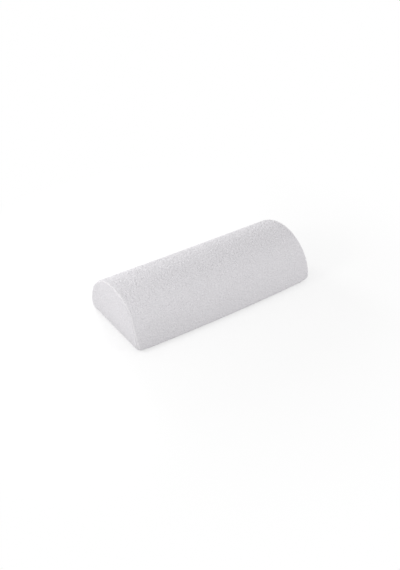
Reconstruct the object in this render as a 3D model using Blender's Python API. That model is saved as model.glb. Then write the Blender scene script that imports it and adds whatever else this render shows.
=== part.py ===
# Half round bolster for therapy and floor exercise. Metres, +Z up.
# A foam core in a thin tricot liner lies inside a terry cover, which opens along its back with a coil zip.
# The bolster lies along X on its flat base, with the zip at the back, +Y. The origin is on the floor, under
# the middle of its box.

import functools
import math

import bmesh
import bpy
from mathutils import Matrix, Vector

# Outside of the filled cover
LENGTH = 0.430  # over the two end panels
WIDTH = 0.1917  # over the base, at the end panels
HEIGHT = 0.100  # floor to crown, at the end panels
FRONT_BELLY = 0.0054  # how far the front bows out at mid length
TOP_SAG = 0.0015  # how far the crown dips at mid length
LONG_EDGE_ROUND = 0.0115  # radius of the two long lower edges at mid length
END_CORNER_ROUND = 0.016  # the same radius at the end panels
CORNER_REACH = 0.025  # length over which that radius grows
END_EDGE_ROUND = 0.0078  # radius of the edge round each end panel

# Fabric and seams
COVER_THICK = 0.0024  # terry with its loops
LINER_THICK = 0.0006  # tricot
SEAT_GAP = 0.0003  # between pieces that rest on each other
ROLL_RADIUS = 0.0012  # an overlocked seam allowance, rolled up inside the cover
FRONT_SEAM_DROP = 55.0  # degrees round the lower front edge, down from the foremost line

# Zip, in the plane that touches the back at its height
ZIP_HEIGHT = 0.026  # its centre line above the floor
HEM_CLEARANCE = 0.0007  # between the slider and the folded edges of the cover
TAPE_UNDER_HEM = 0.008
TAPE_THICK = 0.0006
COIL_WIDTH = 0.0026
COIL_HEIGHT = 0.0020
CHAIN_SLIT = 0.0012  # between the two halves of the chain, where the slider's post runs
BARTACK_LENGTH = 0.0030
BARTACK_THICK = 0.0007
SLIDER_LENGTH = 0.011
SLIDER_WALL = 0.0008
WING_THICK = 0.0010
POST_LENGTH = 0.0040
POST_CLEARANCE = 0.0002  # between the post and the chain
BAIL_WALL = 0.0009
BAIL_WIDTH = 0.0022
PULL_LENGTH = 0.022
PULL_THICK = 0.0010
PULL_ARM = 0.0011  # width of the pull beside its eye
PULL_END_ROUND = 0.0018

# How finely curves are faceted
DOME_STEP = 9.0  # degrees
CORNER_STEP = 18.0
FACET_MERGE = 2.5  # degrees: a step closer than this to a seam, a hem or a groove is left out
EDGE_STEPS = 3  # over half of an end edge
TAPE_EDGE_STEPS = 2
LENGTH_STEPS = 6
ROLL_SIDES = 6
BAIL_STEPS = 6
PULL_CORNER_STEPS = 3

# Depths under the skin, from the cover inwards
half_length = LENGTH / 2
half_width = WIDTH / 2
dome_foot = LONG_EDGE_ROUND  # height at which the dome starts
dome_height = HEIGHT - dome_foot
liner_depth = COVER_THICK + SEAT_GAP
foam_depth = liner_depth + LINER_THICK + SEAT_GAP
tape_depth = COVER_THICK + SEAT_GAP
coil_foot = tape_depth - SEAT_GAP
coil_top = coil_foot - COIL_HEIGHT
wing_foot = coil_top - SEAT_GAP  # underside of the slider's outer wing
inner_wing = tape_depth + TAPE_THICK + SEAT_GAP
slider_depth = inner_wing + WING_THICK

# Across the zip, from its centre line
chain_side = CHAIN_SLIT / 2
channel_half = chain_side + COIL_WIDTH + SEAT_GAP
slider_half_width = channel_half + SLIDER_WALL
hem_side = channel_half + max(SLIDER_WALL, BARTACK_THICK) + HEM_CLEARANCE
tape_side = hem_side + TAPE_UNDER_HEM

# The pull turns on a bar in the slider's bail, clear of the wing in every position
wing_top = WING_THICK - wing_foot
bar_reach = PULL_THICK / 2 * math.sqrt(2)
pin_height = wing_top + SEAT_GAP + bar_reach
bail_bore = bar_reach + SEAT_GAP
bail_outer = bail_bore + BAIL_WALL

# The rolled seam sits in the hollow of an end edge, and the liner and the foam are round enough to clear it
edge_hollow = END_EDGE_ROUND - COVER_THICK
roll_offset = (edge_hollow - SEAT_GAP - ROLL_RADIUS) * math.sqrt(0.5)
roll_place = half_length - END_EDGE_ROUND + roll_offset
room_for_liner = edge_hollow - 2 * SEAT_GAP - 2 * ROLL_RADIUS
sharp_liner = (END_EDGE_ROUND - liner_depth) * math.sqrt(2)
liner_edge_round = (sharp_liner - room_for_liner) / (math.sqrt(2) - 1)
foam_edge_round = liner_edge_round - (foam_depth - liner_depth)
smallest_round = SEAT_GAP


def dome_point(turn):
    """The point of the dome, seen along X, whose outward normal is at this angle."""
    across = half_width * math.cos(turn)
    up = dome_height * math.sin(turn)
    reach = math.hypot(across, up)
    return Vector((half_width * across / reach, dome_foot + dome_height * up / reach))


@functools.lru_cache(maxsize=None)
def lower_corner(inset):
    """Centre of a lower corner whose arc has its centre this far in, and the angle where the arc meets the dome."""
    if inset <= dome_foot:
        return (half_width - inset, inset), 0.0
    low, high = 0.0, math.pi / 2
    for _ in range(40):
        middle = (low + high) / 2
        if dome_point(middle).y - inset * math.sin(middle) < inset:
            low = middle
        else:
            high = middle
    foot = dome_point(low)
    return (foot.x - inset * math.cos(low), foot.y - inset * math.sin(low)), low


def corner_round(x):
    """Radius of the lower long edges at this place along the bolster."""
    share = 1 - (half_length - abs(x)) / CORNER_REACH
    share = min(1.0, max(0.0, share))
    return LONG_EDGE_ROUND + (END_CORNER_ROUND - LONG_EDGE_ROUND) * share


def soften(x, y, z):
    """Bows the front out and lets the crown dip, most at mid length."""
    middle = 1 - (x / half_length) ** 2
    front = min(1.0, max(0.0, -y / half_width))
    y -= FRONT_BELLY * middle * front**1.5
    z -= TOP_SAG * middle * (z / HEIGHT) ** 3
    return Vector((x, y + centre_shift, z))


def section_point(angle, depth, x):
    """(y, z) of the section where its normal is at this angle, this deep. 0 is the back, 90 the crown, 180 the front."""
    mirrored = angle > 90
    turn = math.radians(180 - angle if mirrored else angle)
    small = max(corner_round(x) - depth, smallest_round)
    (y, z), meets_dome = lower_corner(round(depth + small, 7))
    if turn < meets_dome:
        y += small * math.cos(turn)
        z += small * math.sin(turn)
    else:
        point = dome_point(turn)
        y = point.x - depth * math.cos(turn)
        z = point.y - depth * math.sin(turn)
    return (-y if mirrored else y), z


# Where the zip lies on the section
zip_rise = math.asin((ZIP_HEIGHT - dome_foot) / dome_height)
zip_turn = math.atan2(half_width * math.sin(zip_rise), dome_height * math.cos(zip_rise))
zip_reach = math.hypot(half_width * math.cos(zip_turn), dome_height * math.sin(zip_turn))
zip_curve = (half_width * dome_height) ** 2 / zip_reach**3  # radius of the section at the zip
zip_place = dome_point(zip_turn)


def zip_side(distance):
    """The angle that lies this far above the zip's centre line, along the skin."""
    return math.degrees(zip_turn + distance / zip_curve)


# The box is centred on the origin: the belly stands out at the front, the slider's bail at the back
back_reach = max(half_width, zip_place.x + (pin_height + bail_outer) * math.cos(zip_turn))
centre_shift = (half_width + FRONT_BELLY - back_reach) / 2

# How much deeper than elsewhere the liner and the foam lie, behind the zip and at the front seam
groove_side = slider_half_width + SEAT_GAP
zip_groove = slider_depth + SEAT_GAP - liner_depth
tape_groove = TAPE_THICK + SEAT_GAP
fade_side = tape_side + (tape_side - groove_side)
seam_depth = COVER_THICK + SEAT_GAP + ROLL_RADIUS
seam_groove = 2 * ROLL_RADIUS + SEAT_GAP
seam_angle = 180 + FRONT_SEAM_DROP
seam_full = math.degrees(math.asin((ROLL_RADIUS + 2 * SEAT_GAP) / (LONG_EDGE_ROUND - seam_depth)))
seam_out = 270 - seam_angle
grooves = [
    (zip_side(-fade_side), 0.0),
    (zip_side(-tape_side), tape_groove),
    (zip_side(-groove_side), zip_groove),
    (zip_side(groove_side), zip_groove),
    (zip_side(tape_side), tape_groove),
    (zip_side(fade_side), 0.0),
    (seam_angle - seam_out, 0.0),
    (seam_angle - seam_full, seam_groove),
    (seam_angle + seam_full, seam_groove),
    (seam_angle + seam_out, 0.0),
]


def groove(angle):
    """How much deeper the liner and the foam lie at this angle."""
    for (low, low_depth), (high, high_depth) in zip(grooves, grooves[1:]):
        if low <= angle <= high:
            return low_depth + (high_depth - low_depth) * (angle - low) / (high - low)
    return 0.0


def layer_point(angle, point, pressed):
    """Where a point of a layer lies at this angle. It is (x, its depth, the depth of its layer's side)."""
    x, depth, layer = point
    if pressed:
        depth = max(depth, layer + groove(angle))
    return soften(x, *section_point(angle, depth, x))


# Every piece takes its facets from one list of angles, so that neighbours lie parallel
half_gap = math.degrees(SEAT_GAP / 2 / (LONG_EDGE_ROUND - COVER_THICK))
top_range = (zip_side(hem_side), seam_angle - half_gap)
base_front = seam_angle + half_gap
base_back = zip_side(-hem_side)


def all_angles():
    lower = round(90 / CORNER_STEP)
    regular = [CORNER_STEP * i - 90 for i in range(lower)]
    regular += [DOME_STEP * i for i in range(round(180 / DOME_STEP) + 1)]
    regular += [180 + CORNER_STEP * i for i in range(1, lower + 1)]
    needed = [angle for angle, _ in grooves] + [-90, 90, 180, 270]
    needed += [*top_range, base_front, base_back, zip_side(chain_side), zip_side(-chain_side)]
    kept = [a for a in regular if all(abs(a - n) > FACET_MERGE for n in needed)]
    return sorted(set(kept + needed))


angles_round = all_angles()


def angles_between(first, last):
    return [a for a in angles_round if first - 1e-9 <= a <= last + 1e-9]


def length_places(end):
    """Places along the bolster from -end to end. Those between are the same for all the long pieces."""
    straight = half_length - CORNER_REACH
    shared = [straight * (2 * i / LENGTH_STEPS - 1) for i in range(LENGTH_STEPS + 1)]
    inside = [x for x in shared if abs(x) < end - SEAT_GAP]
    return [-end] + inside + [end]


def arc(across, up, radius, first, last, steps):
    """Points on an arc, its ends given in degrees."""
    turns = [math.radians(first + (last - first) * i / steps) for i in range(steps + 1)]
    return [(across + radius * math.cos(turn), up + radius * math.sin(turn)) for turn in turns]


def end_edge(layer, radius, first, last, steps=EDGE_STEPS):
    """Points along the right-hand end edge of a layer: -90 degrees is its side and 0 its end face."""
    along = arc(half_length - layer - radius, layer + radius, radius, first, last, steps)
    return [(x, depth, layer) for x, depth in along]


def mirrored(points):
    return [(-x, depth, layer) for x, depth, layer in points]


def whole_run(edge):
    """An end edge at each end, and the shared places between them."""
    end, depth, layer = edge[0]
    middle = [(x, depth, layer) for x in length_places(end)[1:-1]]
    return mirrored(edge)[::-1] + middle + edge


def half_gap_turn(radius):
    """Half of the gap between two pieces that meet on an arc, as an angle."""
    return math.degrees(SEAT_GAP / 2 / radius)


def side_shell(depth, thick, radius):
    """The loop of a fabric that lies along the sides and turns over both end edges, as far as half way."""
    inner = radius - thick
    outside = whole_run(end_edge(depth, radius, -90, -45 - half_gap_turn(radius)))
    inside = whole_run(end_edge(depth + thick, inner, -90, -45 - half_gap_turn(inner)))
    return outside + inside[::-1]


def end_shell(depth, thick, radius):
    """The path of a fabric that covers the right-hand end and turns over its edge, as far as half way."""
    inner = radius - thick
    outside = end_edge(depth, radius, 0, half_gap_turn(radius) - 45)
    return outside + end_edge(depth + thick, inner, half_gap_turn(inner) - 45, 0)


def material(name, colour, roughness, metallic=0.0):
    made = bpy.data.materials.new(name)
    made.use_nodes = True
    shader = made.node_tree.nodes["Principled BSDF"]
    shader.inputs["Base Color"].default_value = (*colour, 1.0)
    shader.inputs["Roughness"].default_value = roughness
    shader.inputs["Metallic"].default_value = metallic
    return made


def shade(data):
    data.shade_smooth()
    data.set_sharp_from_angle(angle=math.radians(35))


def finish(name, mesh, surface):
    """Turns a bmesh into a named object. The shorter diagonals make neighbouring layers fold alike."""
    bmesh.ops.recalc_face_normals(mesh, faces=mesh.faces)
    quads = [face for face in mesh.faces if len(face.verts) == 4]
    bmesh.ops.triangulate(mesh, faces=quads, quad_method="SHORT_EDGE")
    data = bpy.data.meshes.new(name)
    mesh.to_mesh(data)
    mesh.free()
    shade(data)
    data.materials.append(surface)
    made = bpy.data.objects.new(name, data)
    bpy.context.scene.collection.objects.link(made)
    return made


def bridge(mesh, rings, ring_closed=True, rings_closed=False):
    """Joins neighbouring rings with four-sided faces."""
    following = rings[1:] + rings[:1] if rings_closed else rings[1:]
    for ring, after in zip(rings, following):
        count = len(ring)
        for i in range(count if ring_closed else count - 1):
            j = (i + 1) % count
            mesh.faces.new((ring[i], ring[j], after[j], after[i]))


def close_strip(mesh, ring):
    """Closes a ring whose second half runs back beside its first, with four-sided faces."""
    half = len(ring) // 2
    bridge(mesh, [ring[:half], ring[: half - 1 : -1]], ring_closed=False)


def swept(name, loop, angles, surface, pressed=False):
    """A piece whose closed loop of points is carried round the bolster's section."""
    mesh = bmesh.new()
    rings = [[mesh.verts.new(layer_point(a, point, pressed)) for point in loop] for a in angles]
    whole_way = angles == angles_round
    bridge(mesh, rings, rings_closed=whole_way)
    if not whole_way:
        close_strip(mesh, rings[0])
        close_strip(mesh, rings[-1])
    return finish(name, mesh, surface)


def lofted(name, rings, surface):
    """A piece through rings of points, closed by a face at each end."""
    mesh = bmesh.new()
    rings = [[mesh.verts.new(point) for point in ring] for ring in rings]
    bridge(mesh, rings)
    mesh.faces.new(rings[0])
    mesh.faces.new(rings[-1])
    return finish(name, mesh, surface)


def outlined(name, path, surface, pressed=False):
    """A piece with the bolster's whole outline at each point of a path."""
    return lofted(name, [[layer_point(a, point, pressed) for a in angles_round] for point in path], surface)


def build_core(foam, tricot):
    """The foam block, and the liner that is sewn round it."""
    edge = end_edge(foam_depth, foam_edge_round, -90, 0, 2 * EDGE_STEPS)
    outlined("foam_core", whole_run(edge), foam, pressed=True)
    liner = (liner_depth, LINER_THICK, liner_edge_round)
    swept("liner_sleeve", side_shell(*liner), angles_round, tricot, pressed=True)
    path = end_shell(*liner)
    outlined("liner_end_left", mirrored(path), tricot, pressed=True)
    outlined("liner_end_right", path, tricot, pressed=True)


def build_cover(terry):
    """Four panels: the arched top, the base that turns up to the zip, and an end panel each side."""
    cover = (0.0, COVER_THICK, END_EDGE_ROUND)
    swept("cover_top_panel", side_shell(*cover), angles_between(*top_range), terry)
    base_angles = angles_between(base_front, 270) + angles_between(-90, base_back)
    swept("cover_base_panel", side_shell(*cover), base_angles, terry)
    path = end_shell(*cover)
    outlined("cover_end_left", mirrored(path), terry)
    outlined("cover_end_right", path, terry)


def build_seams(overlock):
    """The rolled seam allowances: one round each end, and one along the lower front edge."""
    around = 360 - 360 / ROLL_SIDES
    roll_depth = END_EDGE_ROUND - roll_offset
    circle = arc(roll_place, roll_depth, ROLL_RADIUS, 0, around, ROLL_SIDES - 1)
    loop = [(x, depth, roll_depth) for x, depth in circle]
    swept("end_seam_right", loop, angles_round, overlock)
    swept("end_seam_left", mirrored(loop), angles_round, overlock)
    rings = []
    for x in length_places(roll_place - ROLL_RADIUS - SEAT_GAP):
        y, z = section_point(seam_angle, seam_depth, x)
        circle = arc(y, z, ROLL_RADIUS, 0, around, ROLL_SIDES - 1)
        rings.append([soften(x, across, up) for across, up in circle])
    lofted("front_seam", rings, overlock)


def extruded(name, outline, low, high, along, surface):
    """A flat outline given a thickness. along is the way it grows: x for (t, n), t for (x, n), n for (x, t)."""
    place = {
        "x": lambda u, v, w: (w, u, v),
        "t": lambda u, v, w: (u, w, v),
        "n": lambda u, v, w: (u, v, w),
    }[along]
    return lofted(name, [[place(u, v, w) for u, v in outline] for w in (low, high)], surface)


def combine(target, operation, other):
    """Cuts the other from the target, or joins it on, and removes it."""
    step = target.modifiers.new(other.name, "BOOLEAN")
    step.operation = operation
    step.object = other
    graph = bpy.context.evaluated_depsgraph_get()
    result = bpy.data.meshes.new_from_object(target.evaluated_get(graph))
    target.modifiers.clear()
    target.data = result
    shade(result)
    bpy.data.objects.remove(other)


def block(low_u, high_u, low_v, high_v):
    return [(low_u, low_v), (high_u, low_v), (high_u, high_v), (low_u, high_v)]


def build_slider(lacquer):
    """The slider: two wings round the chain, joined by a post at the nose, with a bail for the pull."""
    half = SLIDER_LENGTH / 2
    nose = SLIDER_WALL + COIL_WIDTH / 2
    tail = slider_half_width - SLIDER_WALL / 2
    side = [(-half, slider_half_width - nose), (nose - half, slider_half_width), (0.0, slider_half_width)]
    side.append((half, tail))
    plan = side + [(x, -t) for x, t in reversed(side)]
    body = extruded("zip_slider", plan, -slider_depth, wing_top, "n", lacquer)
    post = chain_side - POST_CLEARANCE
    past = 2 * slider_half_width
    for way in (-1, 1):
        channel = [
            (way * post, -wing_foot),
            (way * channel_half, -wing_foot),
            (way * channel_half, -coil_foot),
            (way * past, -coil_foot),
            (way * past, -inner_wing),
            (way * post, -inner_wing),
        ]
        combine(body, "DIFFERENCE", extruded("channel", channel, -SLIDER_LENGTH, SLIDER_LENGTH, "x", lacquer))
    behind_post = block(-2 * post, 2 * post, -inner_wing, -wing_foot)
    tail_cut = extruded("tail_cut", behind_post, POST_LENGTH - half, SLIDER_LENGTH, "x", lacquer)
    combine(body, "DIFFERENCE", tail_cut)
    foot = wing_top - WING_THICK / 2
    hoop = [(bail_outer, foot)] + arc(0, pin_height, bail_outer, 0, 180, BAIL_STEPS) + [(-bail_outer, foot)]
    eye = [(-bail_bore, foot)] + arc(0, pin_height, bail_bore, 180, 0, BAIL_STEPS) + [(bail_bore, foot)]
    bail = extruded("bail", hoop + eye, -BAIL_WIDTH / 2, BAIL_WIDTH / 2, "t", lacquer)
    combine(body, "UNION", bail)
    return body


def build_pull(lacquer):
    """The pull: a flat tab with an eye, whose end bar turns in the bail."""
    bar = PULL_THICK / 2
    eye_half = BAIL_WIDTH / 2 + SEAT_GAP
    side = eye_half + PULL_ARM
    corner = side - PULL_END_ROUND
    tip = PULL_LENGTH - PULL_END_ROUND
    outline = [(-bar, -side)] + arc(tip, -corner, PULL_END_ROUND, -90, 0, PULL_CORNER_STEPS)
    outline += arc(tip, corner, PULL_END_ROUND, 0, 90, PULL_CORNER_STEPS) + [(-bar, side)]
    pull = extruded("zip_pull", outline, -bar, bar, "n", lacquer)
    eye = block(bar, bail_outer + SEAT_GAP, -eye_half, eye_half)
    combine(pull, "DIFFERENCE", extruded("eye", eye, -PULL_THICK, PULL_THICK, "n", lacquer))
    return pull


def build_chain(nylon, thread):
    """The two rows of coil, and a bartack over each end of them that stops the slider."""
    end = half_length - END_EDGE_ROUND
    cut = COIL_HEIGHT / 4
    near, far = chain_side, chain_side + COIL_WIDTH
    row = [(near + cut, -coil_foot), (far - cut, -coil_foot), (far, cut - coil_foot), (far, -coil_top - cut)]
    row += [(far - cut, -coil_top), (near + cut, -coil_top), (near, -coil_top - cut), (near, cut - coil_foot)]
    pieces = [extruded("zip_coil_upper", row, -end, end, "x", nylon)]
    pieces.append(extruded("zip_coil_lower", [(-t, n) for t, n in row], -end, end, "x", nylon))
    leg = channel_half + BARTACK_THICK
    crest = SEAT_GAP + BARTACK_THICK - coil_top
    over = [(leg, -coil_foot), (leg, crest - BARTACK_THICK / 2), (channel_half, crest)]
    under = [(channel_half, crest - BARTACK_THICK), (channel_half, -coil_foot)]
    outline = over + [(-t, n) for t, n in reversed(over)] + [(-t, n) for t, n in reversed(under)] + under
    inner = end - BARTACK_LENGTH
    pieces.append(extruded("zip_bartack_left", outline, inner, end, "x", thread))
    pieces.append(extruded("zip_bartack_right", outline, -end, -inner, "x", thread))
    return pieces, inner - SEAT_GAP - SLIDER_LENGTH / 2


def tape_loop():
    """The loop of a tape, which turns over the end edges with the cover until it meets the rolled seams."""
    outer = END_EDGE_ROUND - tape_depth
    inner = outer - TAPE_THICK
    roll = roll_offset * math.sqrt(2)
    apart = (inner**2 + roll**2 - (ROLL_RADIUS + SEAT_GAP) ** 2) / (2 * inner * roll)
    last = -45 - math.degrees(math.acos(min(1.0, apart)))
    outside = whole_run(end_edge(tape_depth, outer, -90, last, TAPE_EDGE_STEPS))
    inside = whole_run(end_edge(tape_depth + TAPE_THICK, inner, -90, last, TAPE_EDGE_STEPS))
    return outside + inside[::-1]


def build_zip(tape, nylon, thread, lacquer):
    """The zip. Its frame has x the way that it opens, t up the back, and n out of the cover."""
    frame = bpy.data.objects.new("zip_line", None)
    bpy.context.scene.collection.objects.link(frame)
    out = Vector((0, math.cos(zip_turn), math.sin(zip_turn)))
    up = Vector((0, -math.sin(zip_turn), math.cos(zip_turn)))
    axes = Matrix((Vector((-1, 0, 0)), up, out)).transposed().to_4x4()
    frame.matrix_world = Matrix.Translation((0, zip_place.x + centre_shift, zip_place.y)) @ axes

    loop = tape_loop()
    swept("zip_tape_upper", loop, angles_between(zip_side(chain_side), zip_side(tape_side)), tape)
    swept("zip_tape_lower", loop, angles_between(zip_side(-tape_side), zip_side(-chain_side)), tape)
    pieces, closed = build_chain(nylon, thread)
    slider = build_slider(lacquer)
    slider.location.x = -closed
    pull = build_pull(lacquer)
    pull.parent = slider
    pull.location.z = pin_height
    for piece in (*pieces, slider):
        piece.parent = frame
    bpy.context.view_layer.update()
    pin = pull.matrix_world.translation
    print(f"the slider travels {2 * closed:.5f} m along -X")
    print(f"the pull turns about ({pin.x:.5f}, {pin.y:.5f}, {pin.z:.5f}), axis (0, {-up.y:.6f}, {-up.z:.6f})")


def main():
    for old in list(bpy.data.objects):
        bpy.data.objects.remove(old)
    terry = material("terry", (0.76, 0.74, 0.76), 0.95)
    tricot = material("tricot", (0.82, 0.82, 0.80), 0.85)
    foam = material("foam", (0.80, 0.76, 0.62), 0.9)
    overlock = material("overlock", (0.74, 0.73, 0.74), 0.9)
    tape = material("zip_tape", (0.78, 0.77, 0.78), 0.8)
    nylon = material("zip_coil", (0.80, 0.80, 0.80), 0.4)
    lacquer = material("zip_lacquer", (0.82, 0.82, 0.82), 0.3)
    build_core(foam, tricot)
    build_cover(terry)
    build_seams(overlock)
    build_zip(tape, nylon, overlock, lacquer)


main()
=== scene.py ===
# Half round bolster in a terry cover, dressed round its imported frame. Metres, +Z up.
# It lies along X on its flat base. The end nearest the camera is at -X, and the zip is at the back, +Y.
import math

import bpy
import numpy as np
from mathutils import Matrix, Vector
from mathutils.kdtree import KDTree


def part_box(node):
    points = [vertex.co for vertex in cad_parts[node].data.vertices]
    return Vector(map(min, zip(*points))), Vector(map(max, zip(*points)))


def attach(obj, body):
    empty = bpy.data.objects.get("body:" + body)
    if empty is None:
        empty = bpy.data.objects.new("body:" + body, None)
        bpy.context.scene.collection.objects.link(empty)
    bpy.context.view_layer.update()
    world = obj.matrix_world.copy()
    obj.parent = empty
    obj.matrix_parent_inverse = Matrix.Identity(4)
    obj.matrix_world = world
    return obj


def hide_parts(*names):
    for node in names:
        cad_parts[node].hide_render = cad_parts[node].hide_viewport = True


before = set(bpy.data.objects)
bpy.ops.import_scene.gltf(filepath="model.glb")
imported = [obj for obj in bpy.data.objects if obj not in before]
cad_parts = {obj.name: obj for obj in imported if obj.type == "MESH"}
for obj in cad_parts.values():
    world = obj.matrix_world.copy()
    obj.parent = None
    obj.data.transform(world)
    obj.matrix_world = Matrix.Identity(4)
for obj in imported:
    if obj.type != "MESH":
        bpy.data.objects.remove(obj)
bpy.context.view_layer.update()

# The outside of the filled cover, as the frame has it
form = {
    "halfLength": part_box("cover_end_right")[1].x,
    "halfWidth": 0.09585,  # of the base, at the end panels
    "height": 0.100,  # floor to crown, at the end panels
    "belly": 0.0054,  # how far the front bows out at mid length
    "bellyPower": 1.5,  # how fast it grows towards the front
    "sag": 0.0015,  # how far the crown dips at mid length
    "sagPower": 3,  # how fast it grows with height
    "longRound": 0.0115,  # radius of the long lower edges at mid length
    "cornerRound": 0.016,  # the same radius at the end panels
    "cornerReach": 0.025,  # length over which it grows
    "endRound": 0.0078,  # radius of the edge round each end panel
    "frontSeam": 235.0,  # degrees round the section
    "baseSpan": 160.0,  # degrees that stand for the flat base on the way round
}
# The cloth alone: the left end stands out at its lower front
bulge = {
    "out": 0.0045,
    "reach": 0.020,  # length over which it fades
    "start": 0.02,  # y from which it grows
    "span": 0.08,  # way over which it grows to the front
    "heights": (0.006, 0.022, 0.050, 0.062, 0.072, 0.085),
    "shares": (0, 1, 1, 0.6, 0.2, 0),  # how much of it there is at these heights
}
layers = {
    "terry": 0.0024,
    "liner": 0.0006,
    "tape": 0.0006,
    "gap": 0.0003,
    "roll": 0.0012,  # radius of a rolled seam allowance
}
zipSizes = {
    "height": 0.026,
    "slit": 0.0012,
    "coilWidth": 0.0026,
    "coilHeight": 0.0020,
    "sliderWall": 0.0008,
    "wing": 0.0010,
    "hemClearance": 0.0007,
    "tapeUnderHem": 0.008,
}
tables = {
    "cornerReach": 0.04,
    "cornerPlaces": 2001,
    "halvings": 40,
    "skinPlaces": 3501,
}

domeHeight = form["height"] - form["longRound"]
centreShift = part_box("cover_top_panel")[0].y + form["halfWidth"] + form["belly"]
linerDepth = layers["terry"] + layers["gap"]
foamDepth = linerDepth + layers["liner"] + layers["gap"]
chainSide = zipSizes["slit"] / 2
channelHalf = chainSide + zipSizes["coilWidth"] + layers["gap"]
sliderHalf = channelHalf + zipSizes["sliderWall"]
hemSide = sliderHalf + zipSizes["hemClearance"]
tapeSide = hemSide + zipSizes["tapeUnderHem"]
endHollow = form["endRound"] - layers["terry"]
rollOffset = (endHollow - layers["gap"] - layers["roll"]) * math.sqrt(0.5)
linerRoom = endHollow - 2 * layers["gap"] - 2 * layers["roll"]
linerRound = ((form["endRound"] - linerDepth) * math.sqrt(2) - linerRoom) / (math.sqrt(2) - 1)
linerTurn = math.pi / 4 - layers["gap"] / 2 / linerRound  # over its end edge, as far as its seam
foamRound = linerRound - (foamDepth - linerDepth)
roundEnd = 270 + form["baseSpan"]
wholeWay = 360 + form["baseSpan"]
tiny = 1e-9


def domePoint(turn):
    # (y, z) of the dome where its outward normal is at this angle
    across = form["halfWidth"] * np.cos(turn)
    up = domeHeight * np.sin(turn)
    reach = np.hypot(across, up)
    return form["halfWidth"] * across / reach, form["longRound"] + domeHeight * up / reach


def cornerTable():
    # For each inset of a lower corner's centre: where the centre lies, and where its arc meets the dome
    inset = np.linspace(0.0, tables["cornerReach"], tables["cornerPlaces"])
    low = np.zeros_like(inset)
    high = np.full_like(inset, math.pi / 2)
    for _ in range(tables["halvings"]):
        middle = (low + high) / 2
        below = domePoint(middle)[1] - inset * np.sin(middle) < inset
        low = np.where(below, middle, low)
        high = np.where(below, high, middle)
    low[inset <= form["longRound"]] = 0.0
    y, z = domePoint(low)
    z = np.where(inset <= form["longRound"], inset, z - inset * np.sin(low))
    return {"inset": inset, "meets": low, "y": y - inset * np.cos(low), "z": z}


corners = cornerTable()


def sectionPoint(angle, depth, x):
    # (y, z) where the section's normal is at this angle: 0 is the back, 90 the crown, 180 the front
    inFront = angle > 90
    turn = np.radians(np.where(inFront, 180 - angle, angle))
    grown = np.clip(1 - (form["halfLength"] - np.abs(x)) / form["cornerReach"], 0, 1)
    outer = form["longRound"] + (form["cornerRound"] - form["longRound"]) * grown
    small = np.maximum(outer - depth, layers["gap"])
    inset = depth + small
    meets = np.interp(inset, corners["inset"], corners["meets"])
    domeY, domeZ = domePoint(turn)
    # what is corner at this x but dome at mid length is spread evenly over the corner
    quarter = form["longRound"] * math.pi / 2
    down = form["longRound"] * np.minimum(turn, 0) + np.where(turn > 0, domeZ - form["longRound"], 0)
    whole = quarter + domePoint(meets)[1] - form["longRound"]
    turn = np.where(turn < meets, (down + quarter) / whole * (math.pi / 2 + meets) - math.pi / 2, turn)
    cornerY = np.interp(inset, corners["inset"], corners["y"]) + small * np.cos(turn)
    cornerZ = np.interp(inset, corners["inset"], corners["z"]) + small * np.sin(turn)
    y = np.where(turn < meets, cornerY, domeY - depth * np.cos(turn))
    z = np.where(turn < meets, cornerZ, domeZ - depth * np.sin(turn))
    return np.where(inFront, -y, y), z


def skinPoint(around, depth, x):
    # A point under the skin. around goes with the angle from -90 to 270, then over the flat base to its start
    around, depth, x = np.broadcast_arrays(around, depth, x)
    flat = np.clip((around - 270) / form["baseSpan"], 0, 1)
    angle = np.where(flat > 0, -90.0, np.minimum(around, 270.0))
    angle = np.where(flat >= 1, around - form["baseSpan"] - 360, angle)
    y, z = sectionPoint(angle, depth, x)
    frontY, _ = sectionPoint(np.full_like(angle, 270.0), depth, x)
    y = np.where((flat > 0) & (flat < 1), frontY + (y - frontY) * flat, y)
    middle = 1 - (x / form["halfLength"]) ** 2
    bow = np.clip(-y / form["halfWidth"], 0, 1) ** form["bellyPower"]
    y = y - form["belly"] * middle * bow + centreShift
    z = z - form["sag"] * middle * (np.maximum(z, 0) / form["height"]) ** form["sagPower"]
    return np.stack([x, y, z], axis=-1)


def eased(share):
    return share**2 * (3 - 2 * share)


def standOut(points):
    # Moves points out where the left end bulges
    x, y, z = np.moveaxis(points, -1, 0)
    near = np.clip(1 - (form["halfLength"] + x) / bulge["reach"], 0, 1) ** 2
    forward = np.clip((bulge["start"] - y) / bulge["span"], 0, 1)
    x = x - bulge["out"] * near * eased(forward) * np.interp(z, bulge["heights"], bulge["shares"])
    return np.stack([x, y, z], axis=-1)


# Distance along the skin at mid length, against the way round it
roundTable = np.linspace(-90, wholeWay + 90, tables["skinPlaces"])
skinSteps = np.linalg.norm(np.diff(skinPoint(roundTable, 0.0, 0.0), axis=0), axis=1)
distanceTable = np.concatenate([[0.0], np.cumsum(skinSteps)])


def distanceAt(around):
    return np.interp(around, roundTable, distanceTable)


def aroundAt(distance):
    return np.interp(distance, distanceTable, roundTable)


roundLength = distanceAt(roundEnd)

# The zip's centre line on the section, its radius there, and the frame of its parts: x is the way it opens
zipRise = math.asin((zipSizes["height"] - form["longRound"]) / domeHeight)
zipTurn = math.atan2(form["halfWidth"] * math.sin(zipRise), domeHeight * math.cos(zipRise))
zipReach = math.hypot(form["halfWidth"] * math.cos(zipTurn), domeHeight * math.sin(zipTurn))
zipCurve = (form["halfWidth"] * domeHeight) ** 2 / zipReach**3
zipY, zipZ = domePoint(zipTurn)
zipOut = Vector((0, math.cos(zipTurn), math.sin(zipTurn)))
zipUp = Vector((0, -math.sin(zipTurn), math.cos(zipTurn)))
zipAxes = Matrix((Vector((-1, 0, 0)), zipUp, zipOut)).transposed().to_4x4()
zipFrame = Matrix.Translation((0, zipY + centreShift, zipZ)) @ zipAxes


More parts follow.
